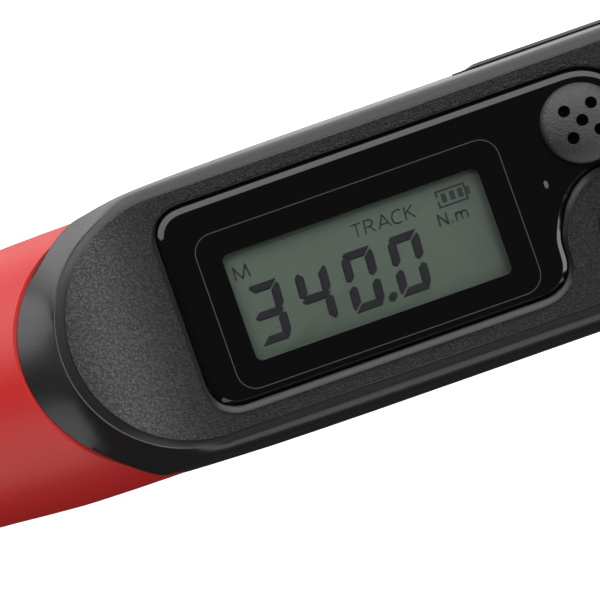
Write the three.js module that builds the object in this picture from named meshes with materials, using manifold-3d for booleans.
// Electronic torque wrench, 12.7 mm square drive, millimetres.
// Frame: the origin is the middle of the drive square's end face. The square points down (-Z),
// the handle runs towards -X, and the display faces up (+Z) with its text reading along +X.
import * as THREE from "three";
import { mergeVertices } from "three/addons/utils/BufferGeometryUtils.js";
import Module from "manifold-3d";

const wasm = await Module();
wasm.setup();
const { Manifold, Mesh } = wasm;

// ---------- driving dimensions ----------
const AXIS_Z = 30; // height of the tool's long axis
const DISPLAY_X = -330; // middle of the LCD window along the tool
const GAP = 0.3; // clearance between fitted parts
const SQUARE = 12.7; // drive square, across flats
const SQUARE_LENGTH = 17;
const TUBE_R = 12;
const TUBE_BORE_R = 10;
const SLEEVE_BORE_R = TUBE_R + GAP; // bore of the parts that sit on the tube
const CENTRE = [0, 0];

// ---------- finishes ----------
const STEEL = { color: 0xb9bcc0, roughness: 0.3, metalness: 1 };
const CHROME = { color: 0xd8dade, roughness: 0.12, metalness: 1 };
const BRASS = { color: 0xb9974a, roughness: 0.35, metalness: 1 };
const CELL_CASE = { color: 0x8a8f96, roughness: 0.35, metalness: 0.6 };
const BLACK = { color: 0x2f2f31, roughness: 0.55, metalness: 0 };
const GLOSS = { color: 0x0c0c0e, roughness: 0.08, metalness: 0 };
const RED = { color: 0xc8322d, roughness: 0.35, metalness: 0 };
const RUBBER = { color: 0x1c1c1e, roughness: 0.8, metalness: 0 };
const BOARD = { color: 0x1d5a34, roughness: 0.5, metalness: 0 };
const LCD = { color: 0x5d685d, roughness: 0.3, metalness: 0 };
const WHITE = { color: 0xd9d9d4, roughness: 0.6, metalness: 0 };

// ---------- solids ----------
// Welds a closed geometry into a Manifold solid, turned right side out.
function solid(geometry) {
  const flat = geometry.index ? geometry.toNonIndexed() : geometry;
  const bare = new THREE.BufferGeometry().setAttribute("position", flat.getAttribute("position"));
  const welded = mergeVertices(bare, 1e-4);
  const corners = [];
  for (let i = 0; i < welded.index.count; i += 3) {
    const [a, b, c] = welded.index.array.subarray(i, i + 3);
    if (a !== b && b !== c && a !== c) corners.push(a, b, c);
  }
  const vertProperties = welded.attributes.position.array;
  const make = () =>
    new Manifold(new Mesh({ numProp: 3, vertProperties, triVerts: new Uint32Array(corners) }));
  const result = make();
  if (result.volume() >= 0) return result;
  corners.reverse();
  return make();
}
const join = (first, ...rest) => rest.reduce((a, b) => a.add(b), first);
const cut = (first, ...rest) => rest.reduce((a, b) => a.subtract(b), first);
const meet = (a, b) => a.intersect(b);

// Spans are [from, to]; spots are [x, y].
const around = (half, middle = 0) => [middle - half, middle + half];
function box([x0, x1], [y0, y1], [z0, z1]) {
  const block = new THREE.BoxGeometry(x1 - x0, y1 - y0, z1 - z0);
  return solid(block.translate((x0 + x1) / 2, (y0 + y1) / 2, (z0 + z1) / 2));
}
// Profile of [radius, height]; closes on itself or on the axis.
function lathe(profile, n) {
  const points = profile.map(([r, h]) => new THREE.Vector2(r, h));
  if (profile[0][0] > 0 || profile.at(-1)[0] > 0) points.push(points[0].clone());
  return new THREE.LatheGeometry(points, n);
}
// Turned about a vertical axis; profile of [radius, z].
const turnZ = (profile, [x, y] = CENTRE, n = 28) =>
  solid(lathe(profile, n).rotateX(Math.PI / 2).translate(x, y, 0));
// Turned about an axis along X; profile of [x, radius].
function turnX(profile, n = 28, z = AXIS_Z) {
  const upright = lathe(profile.map(([x, r]) => [r, x]), n);
  return solid(upright.rotateZ(-Math.PI / 2).translate(0, 0, z));
}
const rodZ = (spot, z0, z1, r, n = 20) => turnZ([[0, z0], [r, z0], [r, z1], [0, z1]], spot, n);
const rodX = (x0, x1, r, n = 24, z = AXIS_Z) =>
  turnX([[x0, 0], [x0, r], [x1, r], [x1, 0]], n, z);
// Crosses the tool's axis.
const rodY = (x, half, r) =>
  solid(new THREE.CylinderGeometry(r, r, 2 * half, 12).translate(x, 0, AXIS_Z));
const ringZ = (spot, z0, z1, inR, outR, n = 24) =>
  turnZ([[inR, z0], [outR, z0], [outR, z1], [inR, z1]], spot, n);
const ringX = (x0, x1, inR, outR, n = 28) =>
  turnX([[x0, inR], [x0, outR], [x1, outR], [x1, inR]], n);
const extrude = (outline, options) => {
  const shape = new THREE.Shape(outline.map(([x, y]) => new THREE.Vector2(x, y)));
  return new THREE.ExtrudeGeometry(shape, { bevelEnabled: false, ...options });
};
const plate = (outline, z0, z1) =>
  solid(extrude(outline, { depth: z1 - z0 }).translate(0, 0, z0));
// Points of an arc, angles in degrees.
const arc = ([x, y], r, from, to, n) => Array.from({ length: n + 1 }, (_, i) => {
  const angle = THREE.MathUtils.degToRad(from + ((to - from) * i) / n);
  return [x + r * Math.cos(angle), y + r * Math.sin(angle)];
});
// Moves each point of a closed counter-clockwise outline outwards by distance.
const grow = (points, distance) => points.map(([x, y], i) => {
  const before = points[(i + points.length - 1) % points.length];
  const after = points[(i + 1) % points.length];
  const [dx, dy] = [after[0] - before[0], after[1] - before[1]];
  const scale = distance / Math.hypot(dx, dy);
  return [x + dy * scale, y - dx * scale];
});
// Skins a row of equal-sized rings of points and closes both ends with fans.
function loft(rings) {
  const n = rings[0].length;
  const points = rings.flat();
  const faces = [];
  for (let k = 0; k + 1 < rings.length; k++)
    for (let i = 0; i < n; i++) {
      const a = k * n + i;
      const b = k * n + ((i + 1) % n);
      faces.push(a, b, b + n, a, b + n, a + n);
    }
  for (const k of [0, rings.length - 1]) {
    const middle = [0, 1, 2].map((axis) => rings[k].reduce((sum, p) => sum + p[axis] / n, 0));
    const hub = points.push(middle) - 1;
    for (let i = 0; i < n; i++) {
      const a = k * n + i;
      const b = k * n + ((i + 1) % n);
      faces.push(...(k ? [a, b, hub] : [b, a, hub]));
    }
  }
  const position = new THREE.Float32BufferAttribute(points.flat(), 3);
  return solid(new THREE.BufferGeometry().setAttribute("position", position).setIndex(faces));
}

// ---------- wires ----------
// Round wire of n sides along a curve.
function wire(curve, r, steps, n) {
  const ring = Array.from({ length: n }, (_, i) => {
    const angle = (2 * Math.PI * i) / n;
    return [r * Math.cos(angle), r * Math.sin(angle)];
  });
  return solid(extrude(ring, { steps, extrudePath: curve }));
}
// Three-turn helix; place maps (across, across, along) to [x, y, z].
class Coil extends THREE.Curve {
  constructor({ from, length, startR, endR = startR, place }) {
    super();
    Object.assign(this, { from, length, startR, endR, place });
  }
  getPoint(t, target = new THREE.Vector3()) {
    const angle = t * 6 * Math.PI;
    const r = this.startR + (this.endR - this.startR) * t;
    const along = this.from + this.length * t;
    return target.set(...this.place(r * Math.cos(angle), r * Math.sin(angle), along));
  }
}
const upright = (u, v, along) => [u, v, along];
const lengthwise = (z) => (u, v, along) => [along, u, z + v];
// Path in the plane y = 0; points are [x, height above the axis].
const cablePath = (points) =>
  new THREE.CatmullRomCurve3(points.map(([x, z]) => new THREE.Vector3(x, 0, AXIS_Z + z)));

const group = new THREE.Group();
function add(name, shape, finish) {
  const { vertProperties, triVerts } = shape.getMesh();
  const geometry = new THREE.BufferGeometry()
    .setAttribute("position", new THREE.Float32BufferAttribute(vertProperties, 3))
    .setIndex(new THREE.Uint32BufferAttribute(triVerts, 1));
  geometry.computeVertexNormals();
  const material = new THREE.MeshStandardMaterial({ ...finish, flatShading: true });
  const mesh = new THREE.Mesh(geometry, material);
  mesh.name = name;
  group.add(mesh);
}

// ---------- ratchet head ----------
const HEAD_R = 22;
const HEAD_HALF = 13; // half of the head's thickness
const HEAD_BOTTOM = AXIS_Z - HEAD_HALF;
const HEAD_TOP = AXIS_Z + HEAD_HALF;
const HEAD_REAR = -49.7;
const POCKET_FLOOR = 21.7;
const COVER_BOTTOM = 39.7;
const COVER_TOP = 42.8;
const CUT_TOP = 45; // where cuts from above start
const LEVER = [-31.5, 0];
const PAWL_PIN = [-21.5, 0];
const PLUNGER_Z = 29;
const HEAD_PIN_X = -66;
const BEAM_PIN_X = -195;
const coverPlan = [...arc(CENTRE, 18.5, -109, 109, 16), ...arc([-30, 0], 10.2, 109, 251, 6)];
const coverScrews = [35, 105, -105, -35].map((angle) => arc(CENTRE, 16.7, angle, angle, 1)[0]);
const crossHole = (x) => rodY(x, 13, 2.8);

function headBody() {
  const plan = [...arc(CENTRE, HEAD_R + 0.8, -112, 112, 16), [HEAD_REAR, 13], [HEAD_REAR, -13]];
  const disc = turnZ([
    [0, HEAD_BOTTOM], [19.5, HEAD_BOTTOM], [HEAD_R, HEAD_BOTTOM + 2.5],
    [HEAD_R, HEAD_TOP - 2.5], [19.5, HEAD_TOP], [0, HEAD_TOP],
  ], CENTRE, 40);
  const neck = turnX([
    [HEAD_REAR, 0], [HEAD_REAR, 12.6], [-48.5, 13.2], [-40, 16.6], [-28, 21], [-8, 21.5], [-8, 0],
  ], 32);
  const spigot = rodX(-73, -49.5, TUBE_BORE_R - GAP);
  const pawlPocket = [[-10, -12], [-10, 12], [-19, 12], [-27, 9], [-27, -9], [-19, -12]];
  return cut(
    join(meet(plate(plan, HEAD_BOTTOM, HEAD_TOP), join(disc, neck)), spigot),
    rodZ(CENTRE, POCKET_FLOOR, CUT_TOP, 14.8, 28),
    rodZ(CENTRE, 10, 25, 11.3, 24),
    plate(pawlPocket, POCKET_FLOOR, CUT_TOP),
    rodZ(LEVER, 23.4, CUT_TOP, 7, 24),
    plate(grow(coverPlan, 0.25), COVER_BOTTOM - GAP, CUT_TOP),
    rodZ(PAWL_PIN, 19, CUT_TOP, 2.25, 16),
    ...coverScrews.map((spot) => rodZ(spot, 33, CUT_TOP, 1.1, 10)),
    box([-74, -60.6], around(4.4), around(4.4, AXIS_Z)), // seat of the torque beam's end
    crossHole(HEAD_PIN_X),
  );
}
function headCover() {
  const screwHoles = coverScrews.flatMap((spot) =>
    [rodZ(spot, 39, 44, 1.3, 8), rodZ(spot, 41.2, 44, 1.95, 8)]);
  return cut(
    plate(coverPlan, COVER_BOTTOM, COVER_TOP),
    rodZ(CENTRE, 39, 44, 9.3, 24),
    rodZ(LEVER, 39, 44, 4.6, 18),
    rodZ(PAWL_PIN, 39, 41.2, 2.3, 16),
    ...screwHoles,
  );
}
function coverScrew(spot) {
  const body = join(rodZ(spot, 33.6, 41.6, 0.9, 8), rodZ(spot, 41.4, 42.7, 1.7, 8));
  return cut(body, rodZ(spot, 42, 44, 0.75, 6));
}
add("head_body", headBody(), CHROME);
add("head_cover", headCover(), STEEL);
coverScrews.forEach((spot, i) => add("cover_screw_" + (i + 1), coverScrew(spot), STEEL));

// ---------- drive gear and release ----------
const GEAR_TEETH = 36;
const GEAR_TIP_R = 14;
const GEAR_ROOT_R = 12.6;
const GEAR_BOTTOM = 22;
const GEAR_TOP = 36;
const BALL_Z = 8;
// Gear outline with its radii enlarged by clearance, turned by so many degrees.
const toothed = (clearance = 0, turn = 0) => Array.from({ length: GEAR_TEETH * 2 }, (_, i) => {
  const angle = (i * Math.PI) / GEAR_TEETH + THREE.MathUtils.degToRad(turn);
  const r = (i % 2 ? GEAR_ROOT_R : GEAR_TIP_R) + clearance;
  return [r * Math.cos(angle), r * Math.sin(angle)];
});

// Toothed ring, journals above and below, and the drive square, hollow for the release pin.
function driveGear() {
  const flats = around(SQUARE / 2);
  const square = meet(
    box(flats, flats, [0, SQUARE_LENGTH + 0.5]),
    turnZ([[0, 0], [7.4, 0], [8.7, 1.3], [8.7, 18], [0, 18]], CENTRE, 24),
  );
  return cut(
    join(
      plate(toothed(), GEAR_BOTTOM, GEAR_TOP),
      rodZ(CENTRE, SQUARE_LENGTH, GEAR_BOTTOM + 0.5, 11, 24),
      rodZ(CENTRE, GEAR_TOP - 0.5, COVER_TOP, 9, 24),
      square,
    ),
    rodZ(CENTRE, 1.6, 44, 2.95),
    rodZ(CENTRE, 36.2, 44, 5.5, 24),
    rodX(0, 8, 2.45, 16, BALL_Z),
  );
}
const releaseProfile = [ // radius, z
  [0, 4.4], [2.6, 4.4], [2.6, 8.3], [1.4, 10], [1.4, 12.5], [2.6, 14], [2.6, 41.6],
  [5.1, 41.6], [5.1, 44.2], [4.3, 45], [0, 45],
];
const releaseCoil = new Coil({ from: 36.9, length: 4, startR: 4, place: upright });
const ball = new THREE.SphereGeometry(2.2, 14, 10).translate(5.15, 0, BALL_Z);
add("drive_gear", driveGear(), STEEL);
add("thrust_washer", ringZ(CENTRE, 36.3, 39.2, 9.4, 14.4, 36), BRASS);
add("release_button", turnZ(releaseProfile, CENTRE, 24), CHROME);
add("release_spring", wire(releaseCoil, 0.45, 30, 5), STEEL);
add("detent_ball", solid(ball), STEEL);

// ---------- pawl and reversing lever ----------
// The pawl rocks about its pin, so that one end or the other meets the teeth.
// It is drawn halfway, with both ends clear.
function pawl() {
  const SWING = 8; // degrees either way
  const TOOTH_PLAY = 0.9; // degrees
  const outline = [
    [-26, -4], [-20, -9.2], [-11.5, -9.8], [-9, -6], [-9, 6], [-11.5, 9.8], [-20, 9.2], [-26, 4],
  ];
  const swing = (shape, degrees) =>
    shape.translate([-PAWL_PIN[0], 0, 0]).rotate([0, 0, degrees]).translate([PAWL_PIN[0], 0, 0]);
  let body = cut(
    plate(outline, GEAR_BOTTOM + 0.2, GEAR_TOP - 0.2),
    rodZ(CENTRE, 20, 38, GEAR_TIP_R + 0.45, 60),
    rodZ(PAWL_PIN, 20, 38, 2.3, 16),
  );
  for (const side of [-1, 1]) {
    const teeth = [-TOOTH_PLAY, 0, TOOTH_PLAY].map((turn) => plate(toothed(GAP, turn), 20, 38));
    body = swing(cut(swing(body, side * SWING), ...teeth), -side * SWING);
  }
  return body;
}
function reverseLever() {
  const hub = turnZ([
    [0, 23.8], [4.2, 23.8], [4.2, 43.2], [8.6, 43.2], [9.2, 43.8], [9.2, 46.6], [8.2, 47.6],
    [0, 47.6],
  ], LEVER, 24);
  const tab = [[-36, -5.2], [-36, 5.2], [-50, 3.6], [-52, 1.8], [-52, -1.8], [-50, -3.6]];
  return cut(join(hub, plate(tab, 43.6, 48.4)), rodX(-35.1, -25, 1.8, 14, PLUNGER_Z));
}
const plungerProfile = [[-30.6, 0], [-30.6, 1.5], [-27.2, 1.5], [-26.4, 0.8], [-26.4, 0]];
const plungerCoil = new Coil({
  from: -34.6, length: 3.4, startR: 1.05, place: lengthwise(PLUNGER_Z),
});
add("pawl", pawl(), STEEL);
add("pawl_pin", rodZ(PAWL_PIN, 19.3, 41, 2, 16), STEEL);
add("pawl_plunger", turnX(plungerProfile, 14, PLUNGER_Z), STEEL);
add("plunger_spring", wire(plungerCoil, 0.25, 26, 4), STEEL);
add("reverse_lever", reverseLever(), CHROME);
add("lever_clip", ringZ(LEVER, 38.2, 39.1, 4.4, 6.3), STEEL);

// ---------- tube and sensing beam ----------
const SIDES = [["left", 1], ["right", -1]]; // name, sign of y
const cableSlot = (x0, x1) => box([x0, x1], around(2.2), [AXIS_Z, AXIS_Z + 14]);
function torqueBeam() {
  const body = join(
    box([-188, -61], around(4), around(4, AXIS_Z)),
    box([-183, -76], around(6), around(5.5, AXIS_Z)),
    rodX(-202, -182.5, 9.7),
  );
  const gaugePockets = SIDES.map(([, side]) =>
    box([-140, -110], around(2.2, side * 5.8), around(3.4, AXIS_Z)));
  return cut(body, crossHole(HEAD_PIN_X), crossHole(BEAM_PIN_X), ...gaugePockets);
}
add("steel_tube", cut(
  ringX(-632, -50, TUBE_BORE_R, TUBE_R),
  crossHole(HEAD_PIN_X),
  crossHole(BEAM_PIN_X),
  cableSlot(-250, -240),
  cableSlot(-372, -362),
), CHROME);
add("torque_beam", torqueBeam(), STEEL);
for (const [name, side] of SIDES) {
  const gauge = box([-132, -118], around(0.3, side * 4.1), around(2.6, AXIS_Z));
  add("strain_gauge_" + name, gauge, BRASS);
}
add("head_pin", rodY(HEAD_PIN_X, 11.9, 2.5), STEEL);
add("beam_pin", rodY(BEAM_PIN_X, 11.9, 2.5), STEEL);
const sensorPath = cablePath([
  [-203, 0], [-225, 0], [-238, 1], [-244.6, 5], [-246, 9], [-246.4, 12], [-247.8, 13.7],
  [-250.8, 13.8],
]);
const batteryPath = cablePath([
  [-517.5, 0], [-450, 0], [-376, 0], [-368.4, 4], [-366.2, 9], [-365.6, 12], [-364.2, 13.6],
  [-361.2, 13.7],
]);
add("sensor_cable", wire(sensorPath, 0.8, 16, 6), WHITE);
add("battery_cable", wire(batteryPath, 0.8, 18, 6), RED);

// ---------- display housing ----------
// Built about the middle of the LCD window, with z from the tool's axis, then moved into place.
const intoPlace = (shape) => shape.translate([DISPLAY_X, 0, AXIS_Z]);
const addHoused = (name, shape, finish) => add(name, intoPlace(shape), finish);
const HOUSING_WALL = 2.3;
const SPLIT_HALF = 0.5; // half of the slit between the shells
const RECESS_FLOOR = 17.6;
const KEY_R = 3.9;
const KEYS = { power: [37.94, -8.41], up: [57.5, 8], down: [57.5, -8.41], set: [75.2, -0.2] };
const keySpots = Object.values(KEYS);
const BUZZER = [36.76, 8.06];
const LED = [28.7, 0.85];
const BOSSES = [[-26, 16.5], [-26, -16.5], [82, 15], [82, -15]];

// Stations along the housing: x, then half width, top or bottom height.
const HALF_WIDTH = [
  [-63.5, 19], [-56, 19.5], [-50, 19.75], [-41, 20.2], [-31.6, 20.7], [-18, 21.1], [0, 21.2],
  [62, 21.2], [72, 20.8], [80, 20], [88, 18.4], [94, 16.9], [98, 16],
];
const TOP = [
  [-56, 19.35], [-53, 19.65], [-49, 20], [-45.5, 20.3], [-38, 20.6], [72, 20.6], [86, 20.2],
  [90, 19.6], [98, 16],
];
const BOTTOM = [[-56, -19.4], [-45, -19.9], [-30, -20.3], [70, -20.3], [84, -18.6], [98, -15.8]];
function interpolate(rows, x) {
  const i = Math.max(1, rows.findIndex(([station]) => x <= station));
  const [[x0, v0], [x1, v1]] = [rows[i - 1], rows[i]];
  return THREE.MathUtils.mapLinear(x, x0, x1, v0, v1);
}
// Half width of the flat top, which is rounded off at both ends.
const FLAT_HALF = 18.3;
function flatHalf(x) {
  const past = Math.max(-27.2 - x, x - 72, 0);
  return Math.max(1.5, Math.sqrt(Math.max(0, FLAT_HALF ** 2 - past ** 2)));
}
function section(x, inset) {
  const half = interpolate(HALF_WIDTH, x) - inset;
  const flat = flatHalf(x);
  const edge = Math.min(Math.max(1.2, flat - 0.4 * inset), half - 0.5);
  const top = interpolate(TOP, x) - inset;
  const shoulder = Math.max(1, 12 * (flat / FLAT_HALF) ** 2);
  const low = interpolate(BOTTOM, x) + inset;
  const corner = Array.from({ length: 5 }, (_, k) => {
    const t = (k * Math.PI) / 8;
    return [edge + (half - edge) * Math.cos(t), shoulder + (top - shoulder) * Math.sin(t)];
  });
  const crown = [0, top + (inset ? 0 : 0.35)];
  const mirrored = corner.map(([y, z]) => [-y, z]).reverse();
  const under = Array.from({ length: 9 }, (_, k) => {
    const t = (k * Math.PI) / 8;
    const power = 2 / 2.4; // superellipse
    const [across, down] = [Math.cos(t), Math.sin(t)];
    return [-half * Math.sign(across) * Math.abs(across) ** power, low * Math.abs(down) ** power];
  });
  return [...corner, crown, ...mirrored, ...under].map(([y, z]) => [x, y, z]);
}
const hull = (stations, inset) => loft(stations.map((x) => section(x, inset)));
const outer = hull(
  [-56, -52, -48, -45.3, -42.5, -38.5, -33, -27.2, -18, 62, 72, 80, 86.5, 90, 98], 0);
const walls = cut(outer, hull([-50, -43, -37.5, -27.2, -18, 62, 72, 82, 91.5], HOUSING_WALL));

// Space behind the joint with the handle body, a plane that slants forwards and down,
// then drops straight.
function handleSide(shift) {
  const profile = [ // x, z
    [-36 - shift, -45], [-36 - shift, 4.46], [-63 - shift, 28.57], [-200, 28.57], [-200, -45],
  ];
  return solid(extrude(profile, { depth: 80 }).rotateX(Math.PI / 2).translate(0, 40, 0));
}
const windowPlan = [
  [22.9, -14.88],
  ...arc([23.09, -9.88], 5, -75, 0, 4),
  [28.09, -7.6],
  ...arc(KEYS.power, 9.4, 163, 82, 8),
  ...arc(BUZZER, 7.9, -66, 88, 12),
  ...arc([-24.16, 11.97], 4, 92, 180, 4),
  ...arc([-24.16, -10.88], 4, 182, 268, 4),
];
const bossBlock = ([x, y], zSpan) =>
  meet(outer, box(around(3, x), y < 0 ? [-22, y + 2.9] : [y - 2.9, 22], zSpan));
const shellHalf = (blank, zSpan) => cut(
  meet(blank, box([-60, 100], around(25), zSpan)),
  handleSide(0),
  rodX(80, 105, SLEEVE_BORE_R, 36, 0),
);
const buzzerHole = rodZ(BUZZER, 10, 24, 5.4, 24);

function upperShell() {
  const recessPlan = grow(windowPlan, 0.66).map(([x, y]) => [x, y - 0.5]);
  const windowBed = meet(outer, box([-31.5, 47.5], [-17.2, 17.9], [16.2, 18.6]));
  const blocks = BOSSES.map((spot) => bossBlock(spot, [0.6, 11]));
  return cut(
    shellHalf(join(walls, windowBed, ...blocks), [SPLIT_HALF, 25]),
    plate(recessPlan, RECESS_FLOOR, 25),
    box(around(24.4), [-14, 11], [10, 20]), // LCD opening
    buzzerHole,
    ...keySpots.map((spot) => rodZ(spot, 10, 24, KEY_R + GAP, 24)),
    ...keySpots.map((spot) => rodZ(spot, 15, 17.5, KEY_R + 1.4, 24)),
    rodZ(LED, 10, 24, 1.3, 10),
    box([36, 46], [13, 24], [13.4, 16.8]), // data port opening
    ...BOSSES.map((spot) => rodZ(spot, -3, 9.6, 1.5, 12)),
  );
}
function lowerShell() {
  const blocks = BOSSES.map((spot) => bossBlock(spot, [-16, -0.6]));
  const screwHoles = BOSSES.flatMap((spot) =>
    [rodZ(spot, -20, 3, 1.5, 12), rodZ(spot, -25, -9.6, 2.7, 16)]);
  return cut(shellHalf(join(walls, ...blocks), [-25, -SPLIT_HALF]), ...screwHoles);
}
function housingScrew(spot) {
  const body = join(rodZ(spot, -10, 8.6, 1.25, 12), rodZ(spot, -12, -9.9, 2.4, 16));
  return cut(body, rodZ(spot, -14, -11, 1.2, 6));
}
addHoused("upper_shell", upperShell(), BLACK);
addHoused("lower_shell", lowerShell(), BLACK);
const gasketStations = [-50, -37.5, -27.2, -18, 62, 72, 80, 88, 94];
const gasketRing = cut(hull(gasketStations, 0.6), hull(gasketStations, 1.6));
for (const [name, side] of SIDES) {
  const zone = box([-35.7, 86], around(6.25, side * 18.75), around(0.3));
  addHoused("gasket_" + name, meet(gasketRing, zone), RUBBER);
}
BOSSES.forEach((spot, i) => addHoused("housing_screw_" + (i + 1), housingScrew(spot), STEEL));

// ---------- display, keys and buzzer ----------
const windowPane = cut(plate(grow(windowPlan, -0.12), RECESS_FLOOR + 0.2, 19.3), buzzerHole);
function buzzerCap() {
  const RIM_R = 6.25;
  const dome = turnZ([
    [5.05, 16.2], [5.05, 19.5], [RIM_R, 19.5], [RIM_R, 20.3], [5.2, 21], [3, 21.5], [0, 21.7],
    [0, 20.5], [3.6, 20.2], [4.2, 19.6], [4.2, 16.2],
  ], BUZZER, 24);
  const holes = [[0, 0], [2.1, 2.1], [-2.1, 2.1], [2.1, -2.1], [-2.1, -2.1]];
  const [x, y] = BUZZER;
  return cut(dome, ...holes.map(([dx, dy]) => rodZ([x + dx, y + dy], 19, 23, 0.92, 8)));
}
addHoused("display_window", windowPane, GLOSS);
addHoused("lcd_glass", box(around(25), [-15, 12], [14.6, 16]), LCD);
addHoused("contact_strip", box(around(22), [9.4, 11.6], [14.1, 14.5]), RUBBER);
addHoused("main_board", box([-30, 78], around(16.8), [12.5, 14]), BOARD);
addHoused("buzzer_disc", rodZ(BUZZER, 14.2, 15.6, 5.2, 24), BRASS);
addHoused("buzzer_cap", buzzerCap(), BLACK);
const FLANGE_R = KEY_R + 1.1;
const keyProfile = [ // radius, z
  [0, 16.2], [FLANGE_R, 16.2], [FLANGE_R, 17.2], [KEY_R, 17.2], [KEY_R, 20.9],
  [KEY_R - 0.8, 21.5], [0, 21.7],
];
const switchProfile = [[0, 14.1], [3.2, 14.1], [3.2, 14.5], [1.6, 15.2], [0, 15.2]];
for (const [name, spot] of Object.entries(KEYS)) {
  addHoused("key_" + name, turnZ(keyProfile, spot, 24), RUBBER);
  addHoused("switch_" + name, turnZ(switchProfile, spot, 16), STEEL);
}
const ledProfile = [[0, 14.2], [1, 14.2], [1, 16.8], [0, 17.2]];
addHoused("indicator_led", turnZ(ledProfile, LED, 12), WHITE);

// ---------- data port and collar ----------
addHoused("data_port", cut(
  box([37.2, 44.8], [13.6, 19.2], [14.1, 16.4]),
  box([38, 44], [14.6, 20], [14.6, 15.9]),
), STEEL);
// A curved flap that follows the housing's side, with a shallow plug on its inside.
function portCover() {
  const skin = (inset) => hull([-18, 62], inset);
  const flap = meet(cut(skin(-1), skin(-0.25)), box([21.2, 61.8], [12, 25], [3.6, 17.4]));
  return join(flap, meet(skin(-0.5), box([37, 45], [19.4, 25], [14.2, 16])));
}
addHoused("port_cover", portCover(), RUBBER);
const collarProfile = [
  [98.3, SLEEVE_BORE_R], [98.3, 15.6], [102, 15.4], [110, 13.6], [110, SLEEVE_BORE_R],
];
addHoused("neck_collar", turnX(collarProfile, 36, 0), BLACK);

// ---------- handle; profiles are x, radius ----------
const handleProfile = [
  [-366, 20.45], [-371, 20.2], [-380, 19.75], [-393.5, 19], [-405, 18.4], [-420, 17.7],
  [-440, 17.1], [-470, 16.8], [-470, SLEEVE_BORE_R], [-462, SLEEVE_BORE_R], [-459, 14.4],
  [-420, 15.2], [-393.5, 16.6], [-366, 18],
];
const gripProfile = [
  [-471, SLEEVE_BORE_R], [-471, 16.6], [-473, 17.4], [-476, 17.6], [-500, 17.2], [-550, 17.9],
  [-590, 17.7], [-610, 17.9], [-618, 18.8], [-622, 18.6], [-622, SLEEVE_BORE_R],
];
const batterySleeveProfile = [
  [-625, 7.6], [-625, 9.7], [-518.6, 9.7], [-518.6, 2], [-520.4, 2], [-520.4, 7.6],
];
const capProfile = [
  [-622.6, 13.9], [-622.6, 17.6], [-624, 18.2], [-640, 18], [-646, 16.6], [-649, 12.5],
  [-650, 0], [-635.4, 0], [-635.4, 12.5], [-629.5, 12.5], [-629.5, 13.9],
];
const oRingProfile = [
  [-628.6, 12.35], [-628.6, 13.5], [-627.4, 13.7], [-626.4, 13.5], [-626.4, 12.35],
];
const cell = (x) => turnX(
  [[x, 0], [x, 7.1], [x + 49, 7.1], [x + 49, 2.7], [x + 50.4, 2.7], [x + 50.4, 0]], 18);
const capCoil = new Coil({
  from: -634.6, length: 10.2, startR: 6.2, endR: 3.6, place: lengthwise(AXIS_Z),
});
add("handle_body", meet(turnX(handleProfile, 32), intoPlace(handleSide(GAP))), RED);
add("grip_sleeve", turnX(gripProfile, 32), RUBBER);
add("battery_sleeve", turnX(batterySleeveProfile, 20), BLACK);
add("front_contact", ringX(-521.4, -520.8, 0.8, 6.8, 20), BRASS);
add("battery_1", cell(-572.2), CELL_CASE);
add("battery_2", cell(-623.4), CELL_CASE);
add("cap_spring", wire(capCoil, 0.4, 28, 5), STEEL);
add("battery_cap", turnX(capProfile, 32), RED);
add("cap_o_ring", turnX(oRingProfile, 24), RUBBER);

export default group;
